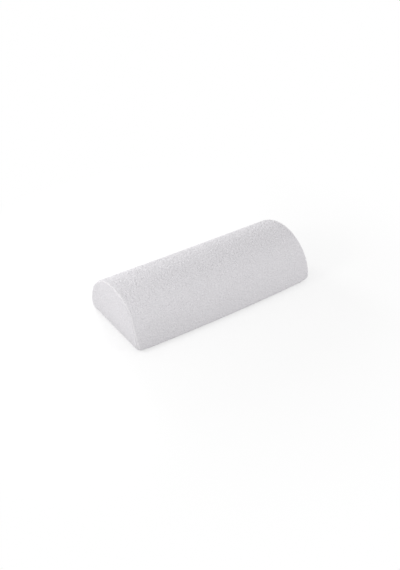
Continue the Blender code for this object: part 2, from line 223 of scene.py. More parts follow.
def zipSide(distance):
    # The angle that lies this far above the zip's centre line
    return math.degrees(zipTurn + distance / zipCurve)


def grooveTable():
    # How much deeper the liner and the foam lie, behind the zip and at the front seam
    half = sliderHalf + layers["gap"]
    fade = 2 * tapeSide - half
    sliderDepth = layers["terry"] + layers["tape"] + zipSizes["wing"] + 2 * layers["gap"]
    zipDepth = sliderDepth + layers["gap"] - linerDepth
    behindTape = layers["tape"] + layers["gap"]
    seamDepth = 2 * layers["roll"] + layers["gap"]
    seamRadius = form["longRound"] - layers["terry"] - layers["gap"] - layers["roll"]
    full = math.degrees(math.asin((layers["roll"] + 2 * layers["gap"]) / seamRadius))
    seam = form["frontSeam"]
    angles = [zipSide(t) for t in (-fade, -tapeSide, -half, half, tapeSide, fade)]
    angles += [2 * seam - 270, seam - full, seam + full, 270]
    return angles, [0, behindTape, zipDepth, zipDepth, behindTape, 0, 0, seamDepth, seamDepth, 0]


grooveAngles, grooveDepths = grooveTable()


def grooveAt(around):
    angle = np.where(around > roundEnd, around - form["baseSpan"] - 360, around)
    return np.interp(angle, grooveAngles, grooveDepths)


def onPlainForm(distance, run, layer, radius, inward=0.0, pressed=False):
    # Lays a point on a layer that follows the sides and turns over the end edges. distance is along its way
    # round, run along the bolster from mid length, and inward square to the layer
    around = aroundAt(distance)
    straight = form["halfLength"] - layer - radius
    turn = np.clip((np.abs(run) - straight) / radius, 0, math.pi / 2)
    x = np.sign(run) * (np.minimum(np.abs(run), straight) + (radius - inward) * np.sin(turn))
    depth = layer + radius * (1 - np.cos(turn)) + inward * np.cos(turn)
    if pressed:
        depth = np.maximum(depth, layer + inward + grooveAt(around))
    return skinPoint(around, depth, x)


def onForm(*place, **how):
    return standOut(onPlainForm(*place, **how))


# Helpers
def selectOnly(piece):
    bpy.ops.object.select_all(action="DESELECT")
    piece.select_set(True)
    bpy.context.view_layer.objects.active = piece


def newObject(name, data):
    piece = bpy.data.objects.new(name, data)
    bpy.context.scene.collection.objects.link(piece)
    selectOnly(piece)
    return piece


def newPrimitive(name, add, **settings):
    bpy.ops.object.select_all(action="DESELECT")
    add(**settings)
    piece = bpy.context.object
    piece.name = name
    return piece


def inEditMode(piece, **steps):
    # Runs mesh operators in turn: each step is an operator and its settings
    selectOnly(piece)
    bpy.ops.object.mode_set(mode="EDIT")
    for operator, settings in steps.items():
        getattr(bpy.ops.mesh, operator)(**settings)
    bpy.ops.object.mode_set(mode="OBJECT")


def mergeAndTurnOut(piece, reach):
    # Merges points that lie on each other and turns the faces outwards
    inEditMode(piece, select_all={"action": "SELECT"}, remove_doubles={"threshold": reach},
               normals_make_consistent={"inside": False})


def applyModifier(piece, kind, **settings):
    selectOnly(piece)
    step = piece.modifiers.new(kind.lower(), kind)
    for setting, value in settings.items():
        setattr(step, setting, value)
    bpy.ops.object.modifier_apply(modifier=step.name)


def readRows(source, key, width, kind=np.float32):
    rows = np.empty(len(source) * width, dtype=kind)
    source.foreach_get(key, rows)
    return rows.reshape(-1, width)


def readPoints(piece):
    return readRows(piece.data.vertices, "co", 3).astype(float)


def pointNormals(piece):
    return readRows(piece.data.vertex_normals, "vector", 3).astype(float)


def writePoints(piece, points):
    piece.data.vertices.foreach_set("co", np.ascontiguousarray(points, dtype=np.float32).ravel())
    piece.data.update()


def storeValues(piece, name, values):
    attribute = piece.data.attributes.new(name, "FLOAT", "POINT")
    attribute.data.foreach_set("value", np.ascontiguousarray(values, dtype=np.float32))


def storeCut(piece, across, along):
    # The place on the flat cut, in metres, is the piece's UV map
    corner = readRows(piece.data.loops, "vertex_index", 1, np.int32)[:, 0]
    flat = np.stack([across[corner], along[corner]], axis=1)
    piece.data.uv_layers.active.data.foreach_set("uv", flat.astype(np.float32).ravel())


def cutArea(piece):
    # Area of the flat cut in square metres, while the piece is one layer of quads
    quads = readRows(piece.data.uv_layers.active.data, "uv", 2).reshape(-1, 4, 2).astype(float)
    first, second = quads[:, 2] - quads[:, 0], quads[:, 3] - quads[:, 1]
    return float(np.abs(first[:, 0] * second[:, 1] - first[:, 1] * second[:, 0]).sum() / 2)


def flatGrid(name, columns, rows):
    piece = newPrimitive(name, bpy.ops.mesh.primitive_grid_add, x_subdivisions=columns, y_subdivisions=rows,
                         size=1)
    shares = readPoints(piece)[:, :2] + 0.5
    return piece, shares[:, 0], shares[:, 1]


def joinPieces(piece, *others):
    selectOnly(piece)
    for other in others:
        other.select_set(True)
    bpy.ops.object.join()


def smooth(piece, angle=None):
    selectOnly(piece)
    if angle is None:
        bpy.ops.object.shade_smooth()
    else:
        bpy.ops.object.shade_smooth_by_angle(angle=math.radians(angle))


def thicken(piece, thickness, angle=None):
    applyModifier(piece, "SOLIDIFY", thickness=thickness, offset=-1)
    smooth(piece, angle)


def dress(piece, material, nodes=(), body="bolster"):
    # The finished piece gets its material, rides on its body and stands for its CAD nodes
    piece.data.materials.clear()
    piece.data.materials.append(material)
    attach(piece, body)
    if nodes:
        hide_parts(*nodes)
    triangles = sum(len(face.vertices) - 2 for face in piece.data.polygons)
    print(f"{piece.name}: {triangles} triangles")


def dressSheet(made, material, node):
    # A finished sheet of cloth: made is the piece, its flat cut, and the cut's area if it is no rectangle; the
    # cut and the area are not used
    piece, cut, area = made
    dress(piece, material, [node])
    return piece


def toLinear(hexColour):
    parts = [int(hexColour[i : i + 2], 16) / 255 for i in (1, 3, 5)]
    parts = [c / 12.92 if c <= 0.04045 else ((c + 0.055) / 1.055) ** 2.4 for c in parts]
    return (*parts, 1.0)


def setInputs(node, inputs):
    # An input is another node's output, a hex colour or a plain value
    for socket, value in inputs.items():
        if isinstance(value, bpy.types.NodeSocket):
            node.id_data.links.new(value, node.inputs[socket])
        else:
            node.inputs[socket].default_value = toLinear(value) if isinstance(value, str) else value


def addNode(owner, kind, inputs=None, give=0, stops=(), **settings):
    # Adds a node with its settings, inputs and colour stops, and returns one of its outputs
    made = owner.node_tree.nodes.new(f"ShaderNode{kind}")
    for setting, value in settings.items():
        setattr(made, setting, value)
    setInputs(made, inputs or {})
    for index, (place, colour) in enumerate(stops):
        made.color_ramp.elements[index].position = place
        made.color_ramp.elements[index].color = toLinear(colour)
    return made.outputs[give]


def newMaterial(name):
    made = bpy.data.materials.new(name)
    made.use_nodes = True
    return made


def setShader(material, inputs):
    setInputs(material.node_tree.nodes["Principled BSDF"], inputs)
    return material


def perMetre(millimetres):
    # A texture's scale, from the size of one of its cells
    return 1000 / millimetres


def perWave(millimetres):
    # A wave texture's scale, from the distance between two crests
    return math.pi / 10 * 1000 / millimetres


# Cotton terry, reactive dyed and tumbled: dull, soft at grazing angles, with painted shade at the loops' roots
# and between the loops, and a painted highlight on its seam crests and hem folds
terryLook = {
    "tip": "#E6E4E7",
    # painted shade: the darker colour of the loops' roots, where the pile lies low
    "rootShade": "#DFDDE0",
    "crushed": "#E1DFE2",
    "between": "#D6D4D8",  # painted shade where the ground lies between two loops
    "worn": "#EFEDEF",  # painted highlight on seam crests and hem folds, where the loops also lie flat
    "loopPitch": 1.3,  # mm
    "fuzz": 0.5,  # mm, coarser than the fibres, so that it shows
    "tuft": 3.2,  # mm, a clump of loops that lean together
    "patch": 35.0,  # mm across a patch where the pile lies another way
}


def cottonTerry():
    made = newMaterial("cottonTerry")
    place = addNode(made, "TexCoord", give="Object")
    pile, seam = (addNode(made, "Attribute", give="Fac", attribute_name=name) for name in ("pile", "seam"))
    loops = addNode(made, "TexVoronoi", {"Vector": place.node.outputs["UV"],
                                         "Scale": perMetre(terryLook["loopPitch"])}, voronoi_dimensions="2D")
    fuzz, tufts, patches = (
        addNode(made, "TexNoise", {"Vector": place, "Scale": perMetre(terryLook[size]), "Detail": detail})
        for size, detail in (("fuzz", 2.0), ("tuft", 1.0), ("patch", 3.0)))
    # painted shade: the low places of the pile take the root colour, and the ground between loops the between
    # colour
    colour = addNode(made, "ValToRGB", {"Fac": pile},
                     stops=[(0.1, terryLook["rootShade"]), (0.8, terryLook["tip"])])
    leaning = addNode(made, "MapRange", {"Value": patches, "From Min": 0.4, "From Max": 0.7, "To Max": 0.6})
    apart = addNode(made, "MapRange", {"Value": loops, "From Min": 0.35, "From Max": 0.7})
    # painted highlight: the seam attribute lightens the seam crests and hem folds with the worn colour
    for share, other in ((leaning, "crushed"), (apart, "between"), (seam, "worn")):
        colour = addNode(made, "Mix", {0: share, 6: colour, 7: terryLook[other]}, give=2, data_type="RGBA")
    fine = addNode(made, "Bump", {"Height": fuzz, "Strength": 0.5, "Distance": 0.0002})
    looped = addNode(made, "Bump", {"Height": loops, "Normal": fine, "Strength": 0.6, "Distance": 0.0004},
                     invert=True)
    clumped = addNode(made, "Bump", {"Height": tufts, "Normal": looped, "Strength": 1.0, "Distance": 0.0008})
    return setShader(made, {"Base Color": colour, "Roughness": 0.95, "Specular IOR Level": 0.2,
                            "Sheen Weight": 0.2, "Sheen Roughness": 0.6, "Normal": clumped})


# Polyester tricot, warp knitted and heat set: thin, slightly lustrous, with fine wales along the bolster and
# painted shade between them
tricotLook = {
    "wale": "#E9E8E4",
    # painted shade between the wales
    "between": "#D2D1CC",
    "walePitch": 0.9,  # mm
    "loopPitch": 0.7,  # mm along a wale
    "cloud": 14.0,  # mm
}


def polyesterTricot():
    made = newMaterial("polyesterTricot")
    place = addNode(made, "TexCoord", give="UV")
    wales, loops = (
        addNode(made, "TexWave", {"Vector": place, "Scale": perWave(tricotLook[size])}, "Fac",
                bands_direction=way) for size, way in (("walePitch", "X"), ("loopPitch", "Y")))
    cloud = addNode(made, "TexNoise", {"Vector": place, "Scale": perMetre(tricotLook["cloud"]), "Detail": 3.0})
    knit = addNode(made, "Math", {0: wales, 1: loops}, operation="MULTIPLY")
    uneven = addNode(made, "Math", {0: knit, 1: cloud}, operation="ADD")
    tone = addNode(made, "ValToRGB", {"Fac": uneven},
                   stops=[(0.3, tricotLook["between"]), (1.0, tricotLook["wale"])])
    raised = addNode(made, "Bump", {"Height": knit, "Strength": 0.8, "Distance": 0.0002})
    return setShader(made, {"Base Color": tone, "Roughness": 0.72, "IOR": 1.54,
                            "Sheen Weight": 0.15, "Sheen Roughness": 0.4, "Normal": raised})


# Polyester zip tape, woven in a herringbone: close and smooth, its two slants catch the light in turn
tapeLook = {
    "light": "#E5E2E5",
    "dark": "#CECCCF",
    "column": 1.6,  # mm across one slant, coarser than the real 0.8, so that it shows
    "yarn": 0.8,  # mm along the tape, twice the real pitch for the same reason
}


def polyesterHerringbone():
    made = newMaterial("polyesterHerringbone")
    across = addNode(made, "SeparateXYZ", {0: addNode(made, "TexCoord", give="UV")})
    slant = addNode(made, "Math", {0: across, 1: tapeLook["column"] / 1000}, operation="PINGPONG")
    along = addNode(made, "Math", {0: across.node.outputs["Y"], 1: slant}, operation="ADD")
    zigzag = addNode(made, "CombineXYZ", {"X": along})
    yarns = addNode(made, "TexWave", {"Vector": zigzag, "Scale": perWave(tapeLook["yarn"])}, "Fac",
                    bands_direction="X")
    tone = addNode(made, "ValToRGB", {"Fac": yarns}, stops=[(0.1, tapeLook["dark"]), (0.7, tapeLook["light"])])
    raised = addNode(made, "Bump", {"Height": yarns, "Strength": 0.8, "Distance": 0.00015})
    return setShader(made, {"Base Color": tone, "Roughness": 0.7, "IOR": 1.54, "Sheen Weight": 0.1,
                            "Normal": raised})


# Polyester sewing thread, spun and two-ply twisted: soft lustre, with painted shade where the plies meet
threadLook = {
    "ply": "#DEDCE0",
    # painted shade in the groove between the plies
    "groove": "#B9B7BB",
    "twist": 0.9,  # mm, coarser than the real 0.4, so that it shows
    "slant": (20, 0, 35),  # degrees
}


def polyesterThread():
    made = newMaterial("polyesterThread")
    place = addNode(made, "TexCoord", give="Object")
    turned = addNode(made, "Mapping", {"Vector": place, "Rotation": np.radians(threadLook["slant"])})
    plies = addNode(made, "TexWave", {"Vector": turned, "Scale": perWave(threadLook["twist"]),
                                      "Distortion": 1.0}, "Fac")
    tone = addNode(made, "ValToRGB", {"Fac": plies},
                   stops=[(0.0, threadLook["groove"]), (0.5, threadLook["ply"])])
    raised = addNode(made, "Bump", {"Height": plies, "Strength": 0.7, "Distance": 0.0001})
    return setShader(made, {"Base Color": tone, "Roughness": 0.6, "IOR": 1.54, "Sheen Weight": 0.2,
                            "Normal": raised})


# Nylon 66 monofilament, extruded and drawn: milky, lets some light in, with faint lines along it
nylonLook = {
    "milky": "#E6E6E9",
    "dyed": "#D3D3D8",
    "uneven": 3.0,  # mm
    "drawn": 0.2,  # mm
}


def nylonMonofilament():
    made = newMaterial("nylonMonofilament")
    place = addNode(made, "TexCoord", give="Object")
    uneven, drawn = (addNode(made, "TexNoise", {"Vector": place, "Scale": perMetre(nylonLook[size])})
                     for size in ("uneven", "drawn"))
    tone = addNode(made, "ValToRGB", {"Fac": uneven},
                   stops=[(0.35, nylonLook["dyed"]), (0.65, nylonLook["milky"])])
    gloss = addNode(made, "MapRange", {"Value": drawn, "To Min": 0.28, "To Max": 0.45})
    raised = addNode(made, "Bump", {"Height": drawn, "Strength": 0.3, "Distance": 0.00003})
    return setShader(made, {"Base Color": tone, "Roughness": gloss, "IOR": 1.53, "Subsurface Weight": 0.2,
                            "Subsurface Radius": (0.0008, 0.0008, 0.0008), "Normal": raised})


# Zinc alloy, die cast and lacquered: semi-gloss with slight orange peel, rubbed to bare metal at its edges
zincLook = {
    "lacquer": "#DFDFE2",
    "thin": "#CFCFD3",
    "zinc": "#A9A8A4",
    "peel": 0.7,  # mm
    "rub": 1.1,  # mm
}


def lacqueredZinc():
    made = newMaterial("lacqueredZinc")
    place = addNode(made, "TexCoord", give="Object")
    edge = addNode(made, "Attribute", give="Fac", attribute_name="edge")
    peel = addNode(made, "TexNoise", {"Vector": place, "Scale": perMetre(zincLook["peel"])})
    rub = addNode(made, "TexNoise", {"Vector": place, "Scale": perMetre(zincLook["rub"]), "Detail": 3.0})
    worn = addNode(made, "Math", {0: edge, 1: rub}, operation="MULTIPLY")
    bare = addNode(made, "MapRange", {"Value": worn, "From Min": 0.34, "From Max": 0.5})
    sprayed = addNode(made, "ValToRGB", {"Fac": peel},
                      stops=[(0.3, zincLook["thin"]), (0.6, zincLook["lacquer"])])
    colour = addNode(made, "Mix", {0: bare, 6: sprayed, 7: zincLook["zinc"]}, give=2, data_type="RGBA")
    gloss = addNode(made, "MapRange", {"Value": rub, "To Min": 0.32, "To Max": 0.48})
    raised = addNode(made, "Bump", {"Height": peel, "Strength": 0.25, "Distance": 0.00004})
    return setShader(made, {"Base Color": colour, "Metallic": bare, "Roughness": gloss, "Coat Weight": 0.3,
                            "Coat Roughness": 0.15, "Normal": raised})


# Polyurethane foam, open celled and cut with a wire: dull, with painted shade in the pore of each cell,
# yellowed in places
foamLook = {
    "strut": "#EDE4CB",
    # painted shade in the pores
    "poreShade": "#B9AB86",
    "yellowed": "#E3D2A4",
    "cell": 1.4,  # mm, coarser than the real 0.7, so that it shows
    "patch": 40.0,  # mm
}


def polyurethaneFoam():
    made = newMaterial("polyurethaneFoam")
    place = addNode(made, "TexCoord", give="Object")
    cells = addNode(made, "TexVoronoi", {"Vector": place, "Scale": perMetre(foamLook["cell"])})
    patches = addNode(made, "TexNoise", {"Vector": place, "Scale": perMetre(foamLook["patch"]), "Detail": 3.0})
    tone = addNode(made, "ValToRGB", {"Fac": cells},
                   stops=[(0.05, foamLook["poreShade"]), (0.4, foamLook["strut"])])
    colour = addNode(made, "Mix", {0: patches, 6: tone, 7: foamLook["yellowed"]}, give=2, data_type="RGBA",
                     blend_type="MULTIPLY")
    raised = addNode(made, "Bump", {"Height": cells, "Strength": 0.8, "Distance": 0.0005})
    return setShader(made, {"Base Color": colour, "Roughness": 0.95, "Specular IOR Level": 0.2,
                            "Normal": raised})


terry = cottonTerry()
tricot = polyesterTricot()
herringbone = polyesterHerringbone()
thread = polyesterThread()
monofilament = nylonMonofilament()
lacquer = lacqueredZinc()
paddingFoam = polyurethaneFoam()
print("materials made")

# The terry panels: each is cut flat, laid on the form, turned in at its edges and given its pile
panel = {
    "cell": 0.00125,
    "fineCell": 0.0005,  # in the last rows before an edge
    "fineRows": 6,
    "curl": 0.0004,  # radius at which an edge turns into its seam
    "seamGap": 0.00006,  # between two panels where they are sewn together
    "liningStep": 4,  # cells of the outer side to one of the inner side
}
pileSizes = {
    "cells": 512,  # after these the tufts come again
    "pitch": 0.0038,
    "height": 0.0018,
    "start": 0.15,  # a tuft stands between this share of its cell and as much before the cell's end
    "jitter": 0.7,
    "long": 0.85,  # half a tuft's length, in pitches
    "wide": 0.62,
    "lowest": 0.45,  # height of the lowest tuft, as a share of the tallest
    "dome": 1.2,  # how a tuft falls off to its sides
    "crownHeights": (0.075, 0.092),  # the pile stands higher at the crown
    "crownShares": (1, 1.4),
    "endShare": 0.65,  # the pile lies flatter on the ends
    "endShift": 1.0,  # and its tufts are drawn for cells this far on
    "calm": 0.35,  # share of the tufts' height right beside a seam or hem
    "calmReach": 0.003,
    "pressedFrom": 0.6,  # the pile is pressed where the skin looks down this much, and wholly a little further
    "pressedSpan": 0.35,
    "pressedLoss": 0.4,
}
seamSizes = {
    "crest": 0.0015,  # how far the turned allowance lifts the side panel along a seam, at the crown
    "crestHeights": (0, 0.016, 0.086, 0.098),
    "crestShares": (0, 0.5, 0.5, 1),  # how much of it there is at these heights
    "crestPlace": 0.0013,
    "crestWidth": 0.0011,
    "rubbed": 0.0022,  # width of the painted highlight on the crest, where the loops lie flat
    "highlitFull": 1.3,
    "hemHighlit": 0.0015,
    "pucker": 0.00022,
    "puckerPitch": 0.0105,
    "puckerReach": 0.011,
    "wander": 1.3,  # how far the puckers stray from an even row, and over how many of them
    "wanderSpan": 2.7,
    "stitchLine": 0.0045,  # from the fold of a hem to its stitching
    "stitchSink": 0.0003,
    "stitchWidth": 0.0009,
    "edgeCurls": 1.5,  # nothing is raised within this many curls of the very edge
}
curlQuarter = panel["curl"] * math.pi / 2
curlLoss = curlQuarter - panel["curl"]
fineReach = panel["fineRows"] * panel["fineCell"]

# The edge round the left end of the cover is tighter in front. lean is the angle from the crown to the front
endEdge = {
    "lean": (10, 27, 38, 47, 54, 105, 135),  # degrees
    "radius": (0.0078, 0.0062, 0.0048, 0.0034, 0.0026, 0.0026, 0.0078),
    "seamTurn": (45, 45, 28, 36, 45, 45, 45),  # degrees over the edge at which the seam lies
}


def edgeAt(around, way):
    # (radius, turn of the seam) of an end edge at this place round the section. way is below 0 at the left end
    lean = np.where(around > roundEnd, -90, around - 90)
    radius = np.interp(lean, endEdge["lean"], endEdge["radius"])
    turn = np.interp(lean, endEdge["lean"], np.radians(endEdge["seamTurn"]))
    return np.where(way < 0, radius, form["endRound"]), np.where(way < 0, turn, math.pi / 4)


def seamRunAt(around, way):
    # How far the end seam is from mid length, along the skin
    radius, turn = edgeAt(around, way)
    return form["halfLength"] - radius * (1 - turn) - panel["seamGap"] / 2


halfRun = float(seamRunAt(180.0, -1))


def cellsOver(size, fineRows):
    cells = round((size - fineRows * panel["fineCell"]) / panel["cell"]) + fineRows
    return cells - cells % (2 * panel["liningStep"])


def curledRun(flat, total):
    # How far a place on the cut gets along the form, and how far its turned edges go inwards
    over = np.clip(curlQuarter - np.minimum(flat, total - flat), 0, curlQuarter) / panel["curl"]
    run = np.clip(flat, curlQuarter, total - curlQuarter) - curlLoss
    run = run + np.where(flat < total / 2, -1, 1) * panel["curl"] * np.sin(over)
    return run, panel["curl"] * (1 - np.cos(over))


def tufts(a, b, seed):
    # Tufts of loops on jittered cells, from 0 between them to 1 on the tallest
    cells, pitch = pileSizes["cells"], pileSizes["pitch"]
    drawn = np.random.default_rng(seed).random((cells, cells, 4))
    column = np.floor(a / pitch).astype(int)
    row = np.floor(b / pitch).astype(int)
    height = np.zeros_like(a)
    for i in (-1, 0, 1):
        for j in (-1, 0, 1):
            shiftA, shiftB, tall, lean = np.moveaxis(drawn[(column + i) % cells, (row + j) % cells], -1, 0)
            fromA = a - (column + i + pileSizes["start"] + pileSizes["jitter"] * shiftA) * pitch
            fromB = b - (row + j + pileSizes["start"] + pileSizes["jitter"] * shiftB) * pitch
            turn = lean * math.pi
            p = fromA * np.cos(turn) + fromB * np.sin(turn)
            q = fromB * np.cos(turn) - fromA * np.sin(turn)
            reach = (p / (pileSizes["long"] * pitch)) ** 2 + (q / (pileSizes["wide"] * pitch)) ** 2
            top = pileSizes["lowest"] + (1 - pileSizes["lowest"]) * tall
            height = np.maximum(height, top * np.clip(1 - reach, 0, 1) ** pileSizes["dome"])
    return height


def ridge(distance, place, width):
    return np.exp(-(((distance - place) / width) ** 2))


def raisePile(piece, flatA, flatB, fromSeam, alongSeam, fromHem, seed, share=1.0, lift=1.0):
    # Moves the outer side by its tufts, the lift and the puckers beside its seams, and a hem's stitching
    points, normals = readPoints(piece), pointNormals(piece)
    pile = tufts(flatA, flatB, seed)
    fromEdge = np.minimum(fromSeam, fromHem)
    calm = pileSizes["calm"] + (1 - pileSizes["calm"]) * np.clip(fromEdge / pileSizes["calmReach"], 0, 1)
    pressed = np.clip((-normals[:, 2] - pileSizes["pressedFrom"]) / pileSizes["pressedSpan"], 0, 1)
    share = share * np.interp(points[:, 2], pileSizes["crownHeights"], pileSizes["crownShares"])
    height = (pile - 0.5 - 0.5 * pressed) * pileSizes["height"] * share * calm
    height *= 1 - pileSizes["pressedLoss"] * pressed
    height += fullnessAt(points)
    lift = lift * np.interp(points[:, 2], seamSizes["crestHeights"], seamSizes["crestShares"])
    height += lift * seamSizes["crest"] * ridge(fromSeam, seamSizes["crestPlace"], seamSizes["crestWidth"])
    phase = 2 * math.pi * alongSeam / seamSizes["puckerPitch"]
    phase = phase + seamSizes["wander"] * np.sin(phase / seamSizes["wanderSpan"]) + seed
    near = np.exp(-fromSeam / seamSizes["puckerReach"]) * np.clip(fromSeam / pileSizes["calmReach"], 0, 1)
    height -= seamSizes["pucker"] * (0.5 - 0.5 * np.cos(phase)) * near * (1 - pressed)
    height -= seamSizes["stitchSink"] * ridge(fromHem, seamSizes["stitchLine"], seamSizes["stitchWidth"])
    height *= np.clip(fromEdge / (seamSizes["edgeCurls"] * panel["curl"]), 0, 1)
    points += normals * height[:, None]
    points[:, 2] = np.maximum(points[:, 2], 0)
    writePoints(piece, points)
    storeValues(piece, "pile", pile)
    # painted highlight along the seam crest and at the hem fold, stored as the seam attribute
    fromCrest = np.abs(fromSeam - seamSizes["crestPlace"])
    rubbed = lift * np.clip(seamSizes["highlitFull"] - fromCrest / seamSizes["rubbed"], 0, 1)
    storeValues(piece, "seam", np.maximum(rubbed, np.clip(1 - fromHem / seamSizes["hemHighlit"], 0, 1)))


def lineAndClose(piece, lining):
    # Joins the outer side of a panel to its plain inner side, round the edge
    for name, value in (("pile", 0.5), ("seam", 0.0)):
        storeValues(lining, name, np.full(len(lining.data.vertices), value))
    lining.data.flip_normals()
    joinPieces(piece, lining)
    openEdges = {"use_wire": False, "use_multi_face": False, "use_non_contiguous": False, "use_verts": False}
    inEditMode(piece, select_mode={"type": "EDGE"}, select_all={"action": "DESELECT"},
               select_non_manifold=openEdges, bridge_edge_loops={})
    smooth(piece)


def sidePanel(name, fromAround, toAround, seams, seed):
    # A panel along the bolster. seams says which of its two long edges are seams and not hems
    first, last = distanceAt(fromAround), distanceAt(toAround)
    wide = last - first + 2 * curlLoss
    long = 2 * (halfRun + curlLoss)
    columns, rows = (cellsOver(size, 2 * panel["fineRows"]) for size in (wide, long))

    def cloth(columns, rows, fineRows, inner):
        made, shareA, shareB = flatGrid(name, columns, rows)
        edgeA, edgeB = fineRows / columns, fineRows / rows
        flatA = np.interp(shareA, [0, edgeA, 1 - edgeA, 1], [0, fineReach, wide - fineReach, wide])
        flatB = np.interp(shareB, [0, edgeB, 1 - edgeB, 1], [0, fineReach, long - fineReach, long])
        runA, inwardA = curledRun(flatA, wide)
        runB, inwardB = curledRun(flatB, long)
        inward = layers["terry"] if inner else inwardA + inwardB
        around = aroundAt(first + runA)
        radius, _ = edgeAt(around, runB - halfRun)
        stretch = seamRunAt(around, runB - halfRun) / halfRun
        writePoints(made, onForm(first + runA, (runB - halfRun) * stretch, 0.0, radius, inward))
        storeCut(made, flatA, (flatB - long / 2) * stretch)
        return made, flatA, flatB

    piece, flatA, flatB = cloth(columns, rows, panel["fineRows"], False)
    area = cutArea(piece)
    far = np.full_like(flatA, 1.0)  # a metre: no seam, or no hem, on that side
    toStart, toEnd = flatA, wide - flatA
    fromEnds = np.minimum(flatB, long - flatB)
    longSeam = np.minimum(toStart if seams[0] else far, toEnd if seams[1] else far)
    hem = np.minimum(far if seams[0] else toStart, far if seams[1] else toEnd)
    alongSeam = np.where(fromEnds < longSeam, flatA, flatB)
    raisePile(piece, flatA, flatB, np.minimum(fromEnds, longSeam), alongSeam, hem, seed)
    step = panel["liningStep"]
    lining, _, _ = cloth(columns // step, rows // step, panel["fineRows"] / step, True)
    lineAndClose(piece, lining)
    return piece, (float(wide), float(long)), area


endFace = {
    "cells": 152,
    "reach": 0.046,  # from the edge of the flat face to its middle, on the cut
    "centre": 0.046,  # height of that middle
    "block": 0.7,  # share of a block's grid that lies along its sides, before its end edges
    # the stretch of the way round that each side of the square grid covers
    "sides": {"base": (225, wholeWay - 45), "back": (-45, 48), "top": (48, 132), "front": (132, 225)},
}
faceMiddle = np.array([centreShift, endFace["centre"]])


def ringPlace(p, q):
    # Share of the way in from a square's edge, and the distance round the form, for a place in the square
    reach = np.maximum(np.abs(p), np.abs(q))
    safe = np.maximum(reach, tiny)
    sides = [(q < 0) & (np.abs(q) >= np.abs(p)), np.abs(p) > np.abs(q), (q > 0) & (np.abs(q) >= np.abs(p))]

    def along(side, share):
        low, high = (distanceAt(turn) for turn in endFace["sides"][side])
        return low + (high - low) * (share + 1) / 2

    onSide = np.where(p > 0, along("back", q / safe), along("front", -q / safe))
    distance = np.select(sides, [along("base", p / safe), onSide, along("top", -p / safe)], along("top", -1))
    return 1 - reach, distance


def onEnd(distance, run, layer, radius, firstTurn, way, inward=0.0, pressed=False):
    # Lays a point on an end: run is from the seam round the end edge and then over the flat face
    turn = np.clip(firstTurn - run / radius, 0, None)
    x = form["halfLength"] - layer - radius * (1 - np.cos(turn)) - inward * np.cos(turn)
    depth = layer + radius * (1 - np.sin(turn)) + inward * np.sin(turn)
    around = aroundAt(distance)
    if pressed:
        depth = np.maximum(depth, layer + inward + grooveAt(around))
    points = skinPoint(around, depth, way * x)
    shrink = 1 - np.clip((run - radius * firstTurn) / endFace["reach"], 0, 1)
    fromMiddle = (points[:, 1:] - faceMiddle) * shrink[:, None]
    points[:, 1:] = faceMiddle + fromMiddle
    outwards = fromMiddle / np.maximum(np.linalg.norm(fromMiddle, axis=1), tiny)[:, None]
    flat = fromMiddle + outwards * (radius * (turn - np.sin(turn)))[:, None]
    return standOut(points), flat


def layEnd(piece, way, points, flat):
    # Gives an end piece its place and its cut, and returns the cut's box and area
    writePoints(piece, points)
    storeCut(piece, flat[:, 0], flat[:, 1])
    if way < 0:
        piece.data.flip_normals()
    return tuple(float(size) for size in flat.max(axis=0) - flat.min(axis=0)), cutArea(piece)


def endPanel(name, way, seed):
    # An end panel: a D that turns over the end edge as far as its seam. way is -1 for the left end
    def cloth(cells, fineRows, inner):
        made, shareA, shareB = flatGrid(name, cells, cells)
        share, distance = ringPlace(2 * shareA - 1, 2 * shareB - 1)
        edge = fineRows / (cells / 2)
        radius, seamTurn = edgeAt(aroundAt(distance), way)
        firstTurn = math.pi / 2 - seamTurn - panel["seamGap"] / 2 / radius
        rest = curlLoss + radius * firstTurn + endFace["reach"] - fineReach
        fromEdge = np.interp(share, [0, edge], [0, fineReach]) + np.interp(share, [edge, 1], [0, 1]) * rest
        over = np.clip(curlQuarter - fromEdge, 0, curlQuarter) / panel["curl"]
        run = np.maximum(fromEdge, curlQuarter) - curlLoss - panel["curl"] * np.sin(over)
        inward = layers["terry"] if inner else panel["curl"] * (1 - np.cos(over))
        points, flat = onEnd(distance, run, 0.0, radius, firstTurn, way, inward)
        return made, fromEdge, distance, flat, layEnd(made, way, points, flat)

    piece, fromEdge, distance, flat, cut = cloth(endFace["cells"], panel["fineRows"], False)
    flatA, flatB = flat.T + pileSizes["endShift"]
    far = np.full_like(fromEdge, 1.0)
    raisePile(piece, flatA, flatB, fromEdge, distance, far, seed, pileSizes["endShare"], 0.0)
    step = panel["liningStep"]
    lining, *_ = cloth(endFace["cells"] // step, panel["fineRows"] / step, True)
    lineAndClose(piece, lining)
    return piece, *cut


def blockOnForm(name, cuts, layer, radius, pressed):
    # A closed block on the form: a subdivided cube, mapped so that its ends keep an even grid
    piece = newPrimitive(name, bpy.ops.mesh.primitive_cube_add, size=2)
    inEditMode(piece, subdivide={"number_cuts": cuts})
    x, p, q = readPoints(piece).T
    share, distance = ringPlace(p, q)
    straight = form["halfLength"] - layer - radius
    runs = [0, straight, straight + radius * math.pi / 2]
    run = np.sign(x) * np.interp(np.abs(x), [0, endFace["block"], 1], runs)
    points = onPlainForm(distance, run, layer, radius, pressed=pressed)
    points[:, 1:] = faceMiddle + (points[:, 1:] - faceMiddle) * (1 - share)[:, None]
    writePoints(piece, standOut(points))
    return piece


# How the filled cover swells between its seams: a cloth simulation on a plain closed copy of the form
fullness = {
    "cuts": 40,
    "start": 0.0008,  # depth under the skin at which the cloth starts
    "voxel": 0.006,
    "pressure": 4.0,
    "frames": 20,
    "sewnReach": 0.010,  # the cloth is held at a seam, and quite free this far from it
    "sewnStep": 0.004,
    "onFloor": 0.003,
    "cap": 0.0014,  # how far a point may move
    "neighbours": 6,
    "blend": 0.0005,  # how far the nearest of them outweighs the others
}


